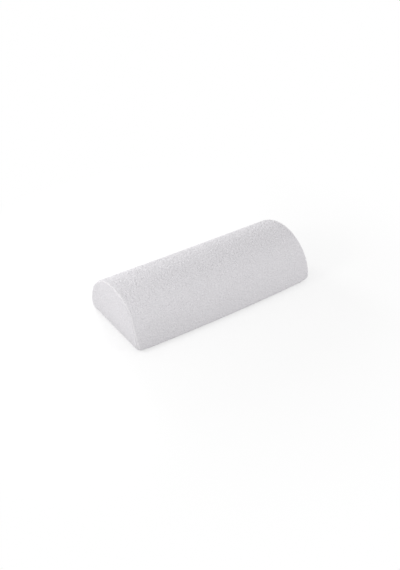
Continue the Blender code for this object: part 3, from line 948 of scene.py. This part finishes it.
def sewnPlaces():
    ring = np.arange(0, roundLength, fullness["sewnStep"])
    line = np.arange(-halfRun, halfRun, fullness["sewnStep"])
    places = []
    for way in (-1, 1):
        radius, _ = edgeAt(aroundAt(ring), way)
        places.append(onForm(ring, way * seamRunAt(aroundAt(ring), way), 0.0, radius))
    for around in (form["frontSeam"], zipSide(0)):
        places.append(onForm(np.full_like(line, distanceAt(around)), line, 0.0, form["endRound"]))
    return np.concatenate(places)


def treeOf(points):
    tree = KDTree(len(points))
    for index, point in enumerate(points):
        tree.insert(point, index)
    tree.balance()
    return tree


def swellCover():
    # Returns the simulated points and how far each one moved outwards
    depth = fullness["start"]
    piece = blockOnForm("swellingCover", fullness["cuts"], depth, form["endRound"] - depth, False)
    applyModifier(piece, "REMESH", mode="VOXEL", voxel_size=fullness["voxel"])
    before, outwards = readPoints(piece), pointNormals(piece)
    sewn = treeOf(sewnPlaces())
    held = np.array([1 - sewn.find(point)[2] / fullness["sewnReach"] for point in before])
    held = np.where(before[:, 2] < fullness["onFloor"], 1.0, np.clip(held, 0, 1))
    group = piece.vertex_groups.new(name="sewn")
    for index in np.flatnonzero(held > 0):
        group.add([int(index)], float(held[index]), "REPLACE")
    cloth = piece.modifiers.new("cloth", "CLOTH")
    cloth.settings.use_pressure = True
    cloth.settings.uniform_pressure_force = fullness["pressure"]
    cloth.settings.effector_weights.gravity = 0
    cloth.settings.vertex_group_mass = "sewn"
    for step in range(1, fullness["frames"] + 1):
        bpy.context.scene.frame_set(step)
    selectOnly(piece)
    bpy.ops.object.modifier_apply(modifier=cloth.name)
    bpy.context.scene.frame_set(1)
    moved = ((readPoints(piece) - before) * outwards).sum(axis=1)
    bpy.data.objects.remove(piece)
    moved -= moved[held == 0].mean()  # the cover's size stays
    return treeOf(before), np.clip(moved, -fullness["cap"], fullness["cap"])


def fullnessAt(points):
    if swollen is None:
        return np.zeros(len(points))
    tree, moved = swollen
    heights = np.empty(len(points))
    for row, point in enumerate(points):
        near = tree.find_n(point, fullness["neighbours"])
        shares = np.array([1 / (far + fullness["blend"]) for _, _, far in near])
        heights[row] = (shares * moved[[index for _, index, _ in near]]).sum() / shares.sum()
    return heights


swollen = swellCover()
print("cover swollen" if swollen else "simulation skipped")

seamGap = math.degrees(panel["seamGap"] / 2 / (form["longRound"] - layers["terry"]))
topPanel = dressSheet(
    sidePanel("terryTopPanel", zipSide(hemSide), form["frontSeam"] - seamGap, (False, True), 7),
    terry, "cover_top_panel")
basePanel = dressSheet(
    sidePanel("terryBasePanel", form["frontSeam"] + seamGap, wholeWay + zipSide(-hemSide), (True, False), 11),
    terry, "cover_base_panel")
for side, way, seed in (("Left", -1, 13), ("Right", 1, 17)):
    endPiece = endPanel(f"terryEnd{side}", way, seed)
    dressSheet(endPiece, terry, f"cover_end_{side.lower()}")
print("terry panels laid on the form")

# Inner pieces: foam, liner and the rolled seam allowances
core = {
    "foamCuts": 55,
    "linerColumns": 176,
    "linerRows": 72,
    "linerEndCells": 48,
    "linerMerge": 0.00002,
    "rollCuts": (26, 26),  # the tube is cut in this many places, and each part again
    "rollSides": 8,
    "rollWrap": 0.0026,  # between two wraps of the overlock thread
    "rollDent": 0.14,  # how deep they lie, as a share of the roll's radius
    "rollMerge": 0.0001,
    "rollSmooth": 40,  # degrees
}


def makeLinerSleeve():
    piece, shareA, shareB = flatGrid("linerSleeve", core["linerColumns"], core["linerRows"])
    half = form["halfLength"] - linerDepth - linerRound + linerRound * linerTurn
    run = (2 * shareB - 1) * half
    writePoints(piece, onForm(shareA * roundLength, run, linerDepth, linerRound, pressed=True))
    storeCut(piece, shareA * roundLength, run)
    inEditMode(piece, remove_doubles={"threshold": core["linerMerge"]})
    thicken(piece, layers["liner"])
    return piece, (float(roundLength), 2 * half), None


def makeLinerEnd(name, way):
    piece, shareA, shareB = flatGrid(name, core["linerEndCells"], core["linerEndCells"])
    share, distance = ringPlace(2 * shareA - 1, 2 * shareB - 1)
    run = share * (linerRound * linerTurn + endFace["reach"])
    cut, area = layEnd(piece, way, *onEnd(distance, run, linerDepth, linerRound, linerTurn, way, pressed=True))
    thicken(piece, layers["liner"])
    return piece, cut, area


def straightTube(name, ends):
    # A tube from 0 to 1 along X, with rings along it, for shaping
    piece = newPrimitive(name, bpy.ops.mesh.primitive_cylinder_add, vertices=core["rollSides"], radius=1,
                         depth=1, end_fill_type=ends, location=(0.5, 0, 0), rotation=(0, math.pi / 2, 0))
    bpy.ops.object.transform_apply(location=True, rotation=True)
    for count in core["rollCuts"]:
        inEditMode(piece, select_mode={"type": "EDGE"}, select_all={"action": "DESELECT"})
        points = readPoints(piece)
        for edge in piece.data.edges:
            first, second = edge.vertices
            edge.select = bool(abs(points[first, 0] - points[second, 0]) > core["rollMerge"])
        inEditMode(piece, subdivide={"number_cuts": count})
    return piece


def rollRadius(along, turn):
    # The wraps go whole into the way round an end
    wraps = round(roundLength / core["rollWrap"])
    wrap = 2 * math.pi * wraps * along / roundLength + turn
    return layers["roll"] * (1 - core["rollDent"] * (0.5 - 0.5 * np.cos(wrap)))


def makeRoll(name, way=0):
    # Round the left or the right end, or along the front seam where there is no way
    piece = straightTube(name, "NOTHING" if way else "NGON")
    points = readPoints(piece)
    turn = np.arctan2(points[:, 2], points[:, 1])
    edge = form["halfLength"] - form["endRound"] + rollOffset
    if way:
        distance = points[:, 0] * roundLength
        radius = rollRadius(distance, turn)
        depth = form["endRound"] - rollOffset - radius * np.cos(turn)
        placed = skinPoint(aroundAt(distance), depth, way * (edge + radius * np.sin(turn)))
        writePoints(piece, standOut(placed))
        mergeAndTurnOut(piece, core["rollMerge"])
        smooth(piece)
    else:
        along = (edge - layers["roll"] - layers["gap"]) * (2 * points[:, 0] - 1)
        radius = rollRadius(along, turn) * np.hypot(points[:, 1], points[:, 2])
        placed = skinPoint(form["frontSeam"], layers["terry"] + layers["gap"] + layers["roll"], along)
        placed[:, 1] += radius * np.cos(turn)
        placed[:, 2] += radius * np.sin(turn)
        writePoints(piece, placed)
        smooth(piece, core["rollSmooth"])
    return piece


foamBlock = blockOnForm("foamBlock", core["foamCuts"], foamDepth, foamRound, True)
smooth(foamBlock)
dress(foamBlock, paddingFoam, ["foam_core"])
dressSheet(makeLinerSleeve(), tricot, "liner_sleeve")
for side, way in (("Left", -1), ("Right", 1)):
    linerEnd = makeLinerEnd(f"linerEnd{side}", way)
    dressSheet(linerEnd, tricot, f"liner_end_{side.lower()}")
    dress(makeRoll(f"endSeamRoll{side}", way), thread, [f"end_seam_{side.lower()}"])
dress(makeRoll("frontSeamRoll"), thread, ["front_seam"])
print("foam, liner and seam allowances made")

# The zip
chain = {
    "pitch": 0.0015,
    "wire": 0.00030,  # radius of the monofilament
    "sides": 6,
    "head": 0.00045,  # from the centre line to the heads of the turns
    "turnPoints": 12,
    "squareAcross": 0.7,  # powers below 1 make a turn squarer
    "squareUp": 0.8,
    "stitchWire": 0.00013,
    "stitchSides": 4,
    "stitchLines": (0.00135, 0.00235),
    "stitchDip": 0.0005,  # how deep the thread goes down between two turns
    "smooth": 60,  # degrees
    "merge": 0.000001,
}
tape = {
    "columns": 14,
    "rows": 300,
    "smooth": 40,  # degrees
}
bartack = {
    "threads": 9,
    "wire": 0.00017,
    "sides": 6,
    "width": 0.003,
    "leg": 0.0004,  # from the rows to its legs
    "rise": 0.00035,  # of its threads over the rows
    "knee": ((0, 0.0006), (0.0002, 0.0002), (0.0007, 0)),  # in from the leg, and down from the top
    "uneven": 0.00006,  # how far the threads lie over and under each other
    "unevenTurn": 2.4,  # radians from one thread to the next
    "smooth": 50,  # degrees
}
hemStitch = {
    "pitch": 0.0033,
    "thread": 0.00021,
    "segments": 6,
    "rings": 5,
    "half": 0.42,  # half a stitch's length, in pitches
    "sag": 0.5,  # how far its ends go down, in thread radii
}
coilFoot = layers["terry"]
coilTop = coilFoot - zipSizes["coilHeight"]
chainEnd = form["halfLength"] - form["endRound"]
chainTurns = int(2 * chainEnd / chain["pitch"]) - 1


def makeTape(name, way):
    piece, shareA, shareB = flatGrid(name, tape["columns"], tape["rows"])
    wide = tapeSide - chainSide
    outer = form["endRound"] - linerDepth  # the tape lies as deep as the liner
    inner = outer - layers["tape"]
    roll = rollOffset * math.sqrt(2)
    # the tape ends where it would touch the rolled allowance
    apart = (inner**2 + roll**2 - (layers["roll"] + layers["gap"]) ** 2) / (2 * inner * roll)
    half = chainEnd + outer * (math.pi / 4 - math.acos(min(1, apart)))
    side = shareA * wide + (chainSide if way > 0 else -tapeSide)
    run = (2 * shareB - 1) * half
    writePoints(piece, onForm(distanceAt(zipSide(0)) + side, run, linerDepth, outer))
    storeCut(piece, side, run)
    thicken(piece, layers["tape"], tape["smooth"])
    return piece, (wide, 2 * half), None


def wireAlong(name, path, radius, sides):
    # A capped round wire through a list of points
    curve = bpy.data.curves.new(name, "CURVE")
    curve.dimensions = "3D"
    curve.bevel_depth = radius
    curve.bevel_resolution = sides // 2 - 2
    curve.use_fill_caps = True
    spline = curve.splines.new("POLY")
    spline.points.add(len(path) - 1)
    spline.points.foreach_set("co", np.c_[path, np.ones(len(path))].ravel())
    newObject(name, curve)
    bpy.ops.object.convert(target="MESH")
    piece = bpy.context.object
    mergeAndTurnOut(piece, chain["merge"])
    return piece


def setInChain(wires, angle=None):
    # Makes one piece of the wires and puts it in the zip's frame
    if len(wires) > 1:
        joinPieces(*wires)
    wires[0].data.transform(zipFrame)
    wires[0].data.update()
    smooth(wires[0], angle)
    return wires[0]


def chainPlace(turns, way):
    # Along the chain, from the number of turns. The lower row lies half a pitch further
    return (turns - chainTurns / 2) * chain["pitch"] + (chain["pitch"] / 2 if way < 0 else 0)


def makeCoil(name, way):
    # One monofilament, wound flat: each turn crosses square to the chain on top and steps on underneath
    share = np.arange(chainTurns * chain["turnPoints"] + 1) / chain["turnPoints"]
    near = chain["head"] + chain["wire"]
    far = chainSide + zipSizes["coilWidth"] - chain["wire"]
    low, high = -coilFoot + chain["wire"], -coilTop - chain["wire"]

    def between(first, last, wave, power):
        return (first + last) / 2 + (last - first) / 2 * np.sign(wave) * np.abs(wave) ** power

    across = between(near, far, np.cos(2 * math.pi * share), chain["squareAcross"])
    up = between(low, high, np.sin(2 * math.pi * share), chain["squareUp"])
    x = chainPlace(np.floor(share) + eased(np.clip(2 * (share % 1) - 1, 0, 1)), way)
    path = np.stack([x, way * across, up], axis=1)
    return setInChain([wireAlong(name, path, chain["wire"], chain["sides"])], chain["smooth"])


def makeChainStitching(name, way):
    steps = np.arange(4 * chainTurns + 1)
    x = chainPlace(steps / 4, way)
    up = chain["stitchWire"] - coilTop - chain["stitchDip"] * (1 - np.cos(steps * math.pi / 2)) / 2
    paths = [np.stack([x, np.full_like(x, way * line), up], axis=1) for line in chain["stitchLines"]]
    return setInChain([wireAlong(name, path, chain["stitchWire"], chain["stitchSides"]) for path in paths])


def makeBartack(name, way):
    # Threads laid side by side across the chain, over both rows and down to the tape
    leg = channelHalf + bartack["leg"]
    crest = layers["gap"] - coilTop + bartack["rise"]
    arch = [(leg, -coilFoot)] + [(leg - inwards, crest - down) for inwards, down in bartack["knee"]]
    arch += [(-across, up) for across, up in reversed(arch)]
    threads = []
    for i in range(bartack["threads"]):
        x = way * (chainEnd - bartack["width"] * (1 - (i + 0.5) / bartack["threads"]))
        lies = bartack["uneven"] * math.sin(bartack["unevenTurn"] * i)
        path = np.array([(x, across, up + lies) for across, up in arch])
        threads.append(wireAlong(name, path, bartack["wire"], bartack["sides"]))
    return setInChain(threads, bartack["smooth"])


def makeHemStitching(name, way):
    # One stitch, repeated along the hem and then laid on the form
    piece = newPrimitive(name, bpy.ops.mesh.primitive_uv_sphere_add, segments=hemStitch["segments"],
                         ring_count=hemStitch["rings"], radius=1, rotation=(0, math.pi / 2, 0))
    bpy.ops.object.transform_apply(rotation=True)
    half = hemStitch["half"] * hemStitch["pitch"]
    points = readPoints(piece) * [half, hemStitch["thread"], hemStitch["thread"]]
    points[:, 2] -= hemStitch["sag"] * hemStitch["thread"] * (points[:, 0] / half) ** 2
    writePoints(piece, points)
    count = int(2 * chainEnd / hemStitch["pitch"])
    applyModifier(piece, "ARRAY", count=count, use_relative_offset=False, use_constant_offset=True,
                  constant_offset_displace=(hemStitch["pitch"], 0, 0))
    points = readPoints(piece)
    x = points[:, 0] - (count - 1) / 2 * hemStitch["pitch"]
    side = distanceAt(zipSide(0)) + way * (hemSide + seamSizes["stitchLine"]) + points[:, 1]
    writePoints(piece, skinPoint(aroundAt(side), seamSizes["stitchSink"] / 2 - points[:, 2], x))
    mergeAndTurnOut(piece, chain["merge"])
    smooth(piece)
    return piece


# The slider and its pull keep the frame's shape, with their edges broken and rubbed
metalEdges = {
    "merge": 0.00001,
    "flat": 1,  # degrees between faces that are made one
    "bevel": 0.00018,
    "segments": 3,
    "sharp": 30,  # degrees
    "smooth": 40,
    "rubbed": 3,  # how soon an edge is worn bare
}


def storeEdges(piece):
    # How much each point sticks out beyond its neighbours, for the wear on edges
    points, normals = readPoints(piece), pointNormals(piece)
    first, second = readRows(piece.data.edges, "vertices", 2, np.int32).T
    apart = points[second] - points[first]
    length = np.maximum(np.linalg.norm(apart, axis=1), tiny)
    drop = np.zeros(len(points))
    count = np.zeros(len(points))
    for ends, sign in ((first, -1), (second, 1)):
        np.add.at(drop, ends, sign * (apart * normals[ends]).sum(axis=1) / length)
        np.add.at(count, ends, 1)
    storeValues(piece, "edge", np.clip(metalEdges["rubbed"] * drop / np.maximum(count, 1), 0, 1))


def makeMetal(name, node):
    # A copy of a frame node's mesh, with its loose triangles merged and its flat faces whole
    piece = newObject(name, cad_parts[node].data.copy())
    inEditMode(piece, select_all={"action": "SELECT"}, remove_doubles={"threshold": metalEdges["merge"]},
               dissolve_limited={"angle_limit": math.radians(metalEdges["flat"])})
    applyModifier(piece, "BEVEL", width=metalEdges["bevel"], segments=metalEdges["segments"],
                  limit_method="ANGLE", angle_limit=math.radians(metalEdges["sharp"]))
    smooth(piece, metalEdges["smooth"])
    storeEdges(piece)
    return piece


for side, way in (("Upper", 1), ("Lower", -1)):
    dressSheet(makeTape(f"zipTape{side}", way), herringbone, f"zip_tape_{side.lower()}")
    dress(makeCoil(f"zipCoil{side}", way), monofilament, [f"zip_coil_{side.lower()}"])
    dress(makeChainStitching(f"zipStitching{side}", way), thread)
    dress(makeHemStitching(f"hemStitching{side}", way), thread)
for side, way in (("Left", 1), ("Right", -1)):
    dress(makeBartack(f"zipBartack{side}", way), thread, [f"zip_bartack_{side.lower()}"])
for name, node, body in (("zipSlider", "zip_slider", "slider"), ("zipPull", "zip_pull", "pull")):
    dress(makeMetal(name, node), lacquer, [node], body)
print("zip made")

# Camera, floor and light
view = {
    "azimuth": -35.19,
    "elevation": 34.56,
    "distance": 1.4669,
    "lens": 44.39,
    "aimRight": -0.00601,
    "aimUp": -0.02442,
}
studio = {
    "worldLevel": 0.738,
    "lampSize": 0.3,
    "lamps": {  # degrees round from +X, degrees up, metres away, watts
        "backLamp": (90, 16, 0.9, 3.3),
        "frontLamp": (300, 16, 1.7, 4.73),
        "leftLamp": (180, 30, 0.9, 1.79),
    },
    "floorSize": 6.0,
    "floorDrop": 0.0002,
    "floorBounce": "#E2E2E2",
    "shadowReach": (0.28, 0.65),  # the floor takes its shadow inside the first radius, none past the second
    "shadowShare": 0.4,
}
middleOfForm = Vector((0, centreShift, form["height"] / 2))
plainWhite = (1, 1, 1, 1)


def towards(azimuth, elevation):
    turn, lift = math.radians(azimuth), math.radians(elevation)
    return Vector((math.cos(turn) * math.cos(lift), math.sin(turn) * math.cos(lift), math.sin(lift)))


def placeCamera():
    back = towards(view["azimuth"] - 90, view["elevation"])
    right = towards(view["azimuth"], 0)
    up = back.cross(right)
    camera = newObject("camera", bpy.data.cameras.new("camera"))
    camera.data.lens = view["lens"]
    camera.location = middleOfForm + right * view["aimRight"] + up * view["aimUp"] + back * view["distance"]
    camera.rotation_euler = Matrix((right, up, back)).transposed().to_euler()
    bpy.context.scene.camera = camera


def whiteToCamera(owner, outputNode, plain, seen):
    # The camera and what is mirrored see one shader, and the light on the object comes from the other
    sees = addNode(owner, "LightPath", give="Is Camera Ray")
    for ray in ("Is Glossy Ray", "Is Transmission Ray"):
        sees = addNode(owner, "Math", {0: sees, 1: addNode(owner, "LightPath", give=ray)}, operation="MAXIMUM")
    mixed = addNode(owner, "MixShader", {0: sees, 1: plain, 2: seen})
    setInputs(owner.node_tree.nodes[outputNode], {"Surface": mixed})


def whitePaper():
    # Matt white paper, lit from below as on a light table, so that only a soft shadow is left on it
    made = newMaterial("whitePaper")
    made.node_tree.nodes.remove(made.node_tree.nodes["Principled BSDF"])
    place = addNode(made, "TexCoord", give="Object")
    far = addNode(made, "VectorMath", {0: place}, "Value", operation="LENGTH")
    near, gone = studio["shadowReach"]
    share = addNode(made, "MapRange", {"Value": far, "From Min": near, "From Max": gone,
                                       "To Min": 1 - studio["shadowShare"]}, interpolation_type="SMOOTHSTEP")
    paper = addNode(made, "BsdfDiffuse", {"Color": plainWhite})
    table = addNode(made, "Emission", {"Color": plainWhite, "Strength": 1.0})
    seen = addNode(made, "MixShader", {0: share, 1: paper, 2: table})
    bounce = addNode(made, "BsdfDiffuse", {"Color": studio["floorBounce"]})
    whiteToCamera(made, "Material Output", bounce, seen)
    return made


def setStage():
    world = bpy.data.worlds.new("studio")
    bpy.context.scene.world = world
    world.use_nodes = True
    plain = world.node_tree.nodes["Background"]
    setInputs(plain, {"Color": plainWhite, "Strength": studio["worldLevel"]})
    seen = addNode(world, "Background", {"Color": plainWhite, "Strength": 1.0})
    whiteToCamera(world, "World Output", plain.outputs[0], seen)
    floor = newPrimitive("floor", bpy.ops.mesh.primitive_plane_add, size=studio["floorSize"],
                         location=(0, 0, -studio["floorDrop"]))
    floor.data.materials.append(whitePaper())
    for name, (turn, lift, away, watts) in studio["lamps"].items():
        lamp = newObject(name, bpy.data.lights.new(name, "AREA"))
        lamp.data.shape = "DISK"
        lamp.data.size = studio["lampSize"]
        lamp.data.energy = watts
        lamp.location = middleOfForm + towards(turn, lift) * away
        lamp.rotation_euler = towards(turn, lift).to_track_quat("Z", "Y").to_euler()
    bpy.context.scene.view_settings.view_transform = "Standard"


placeCamera()
setStage()
print("camera, floor and light set")
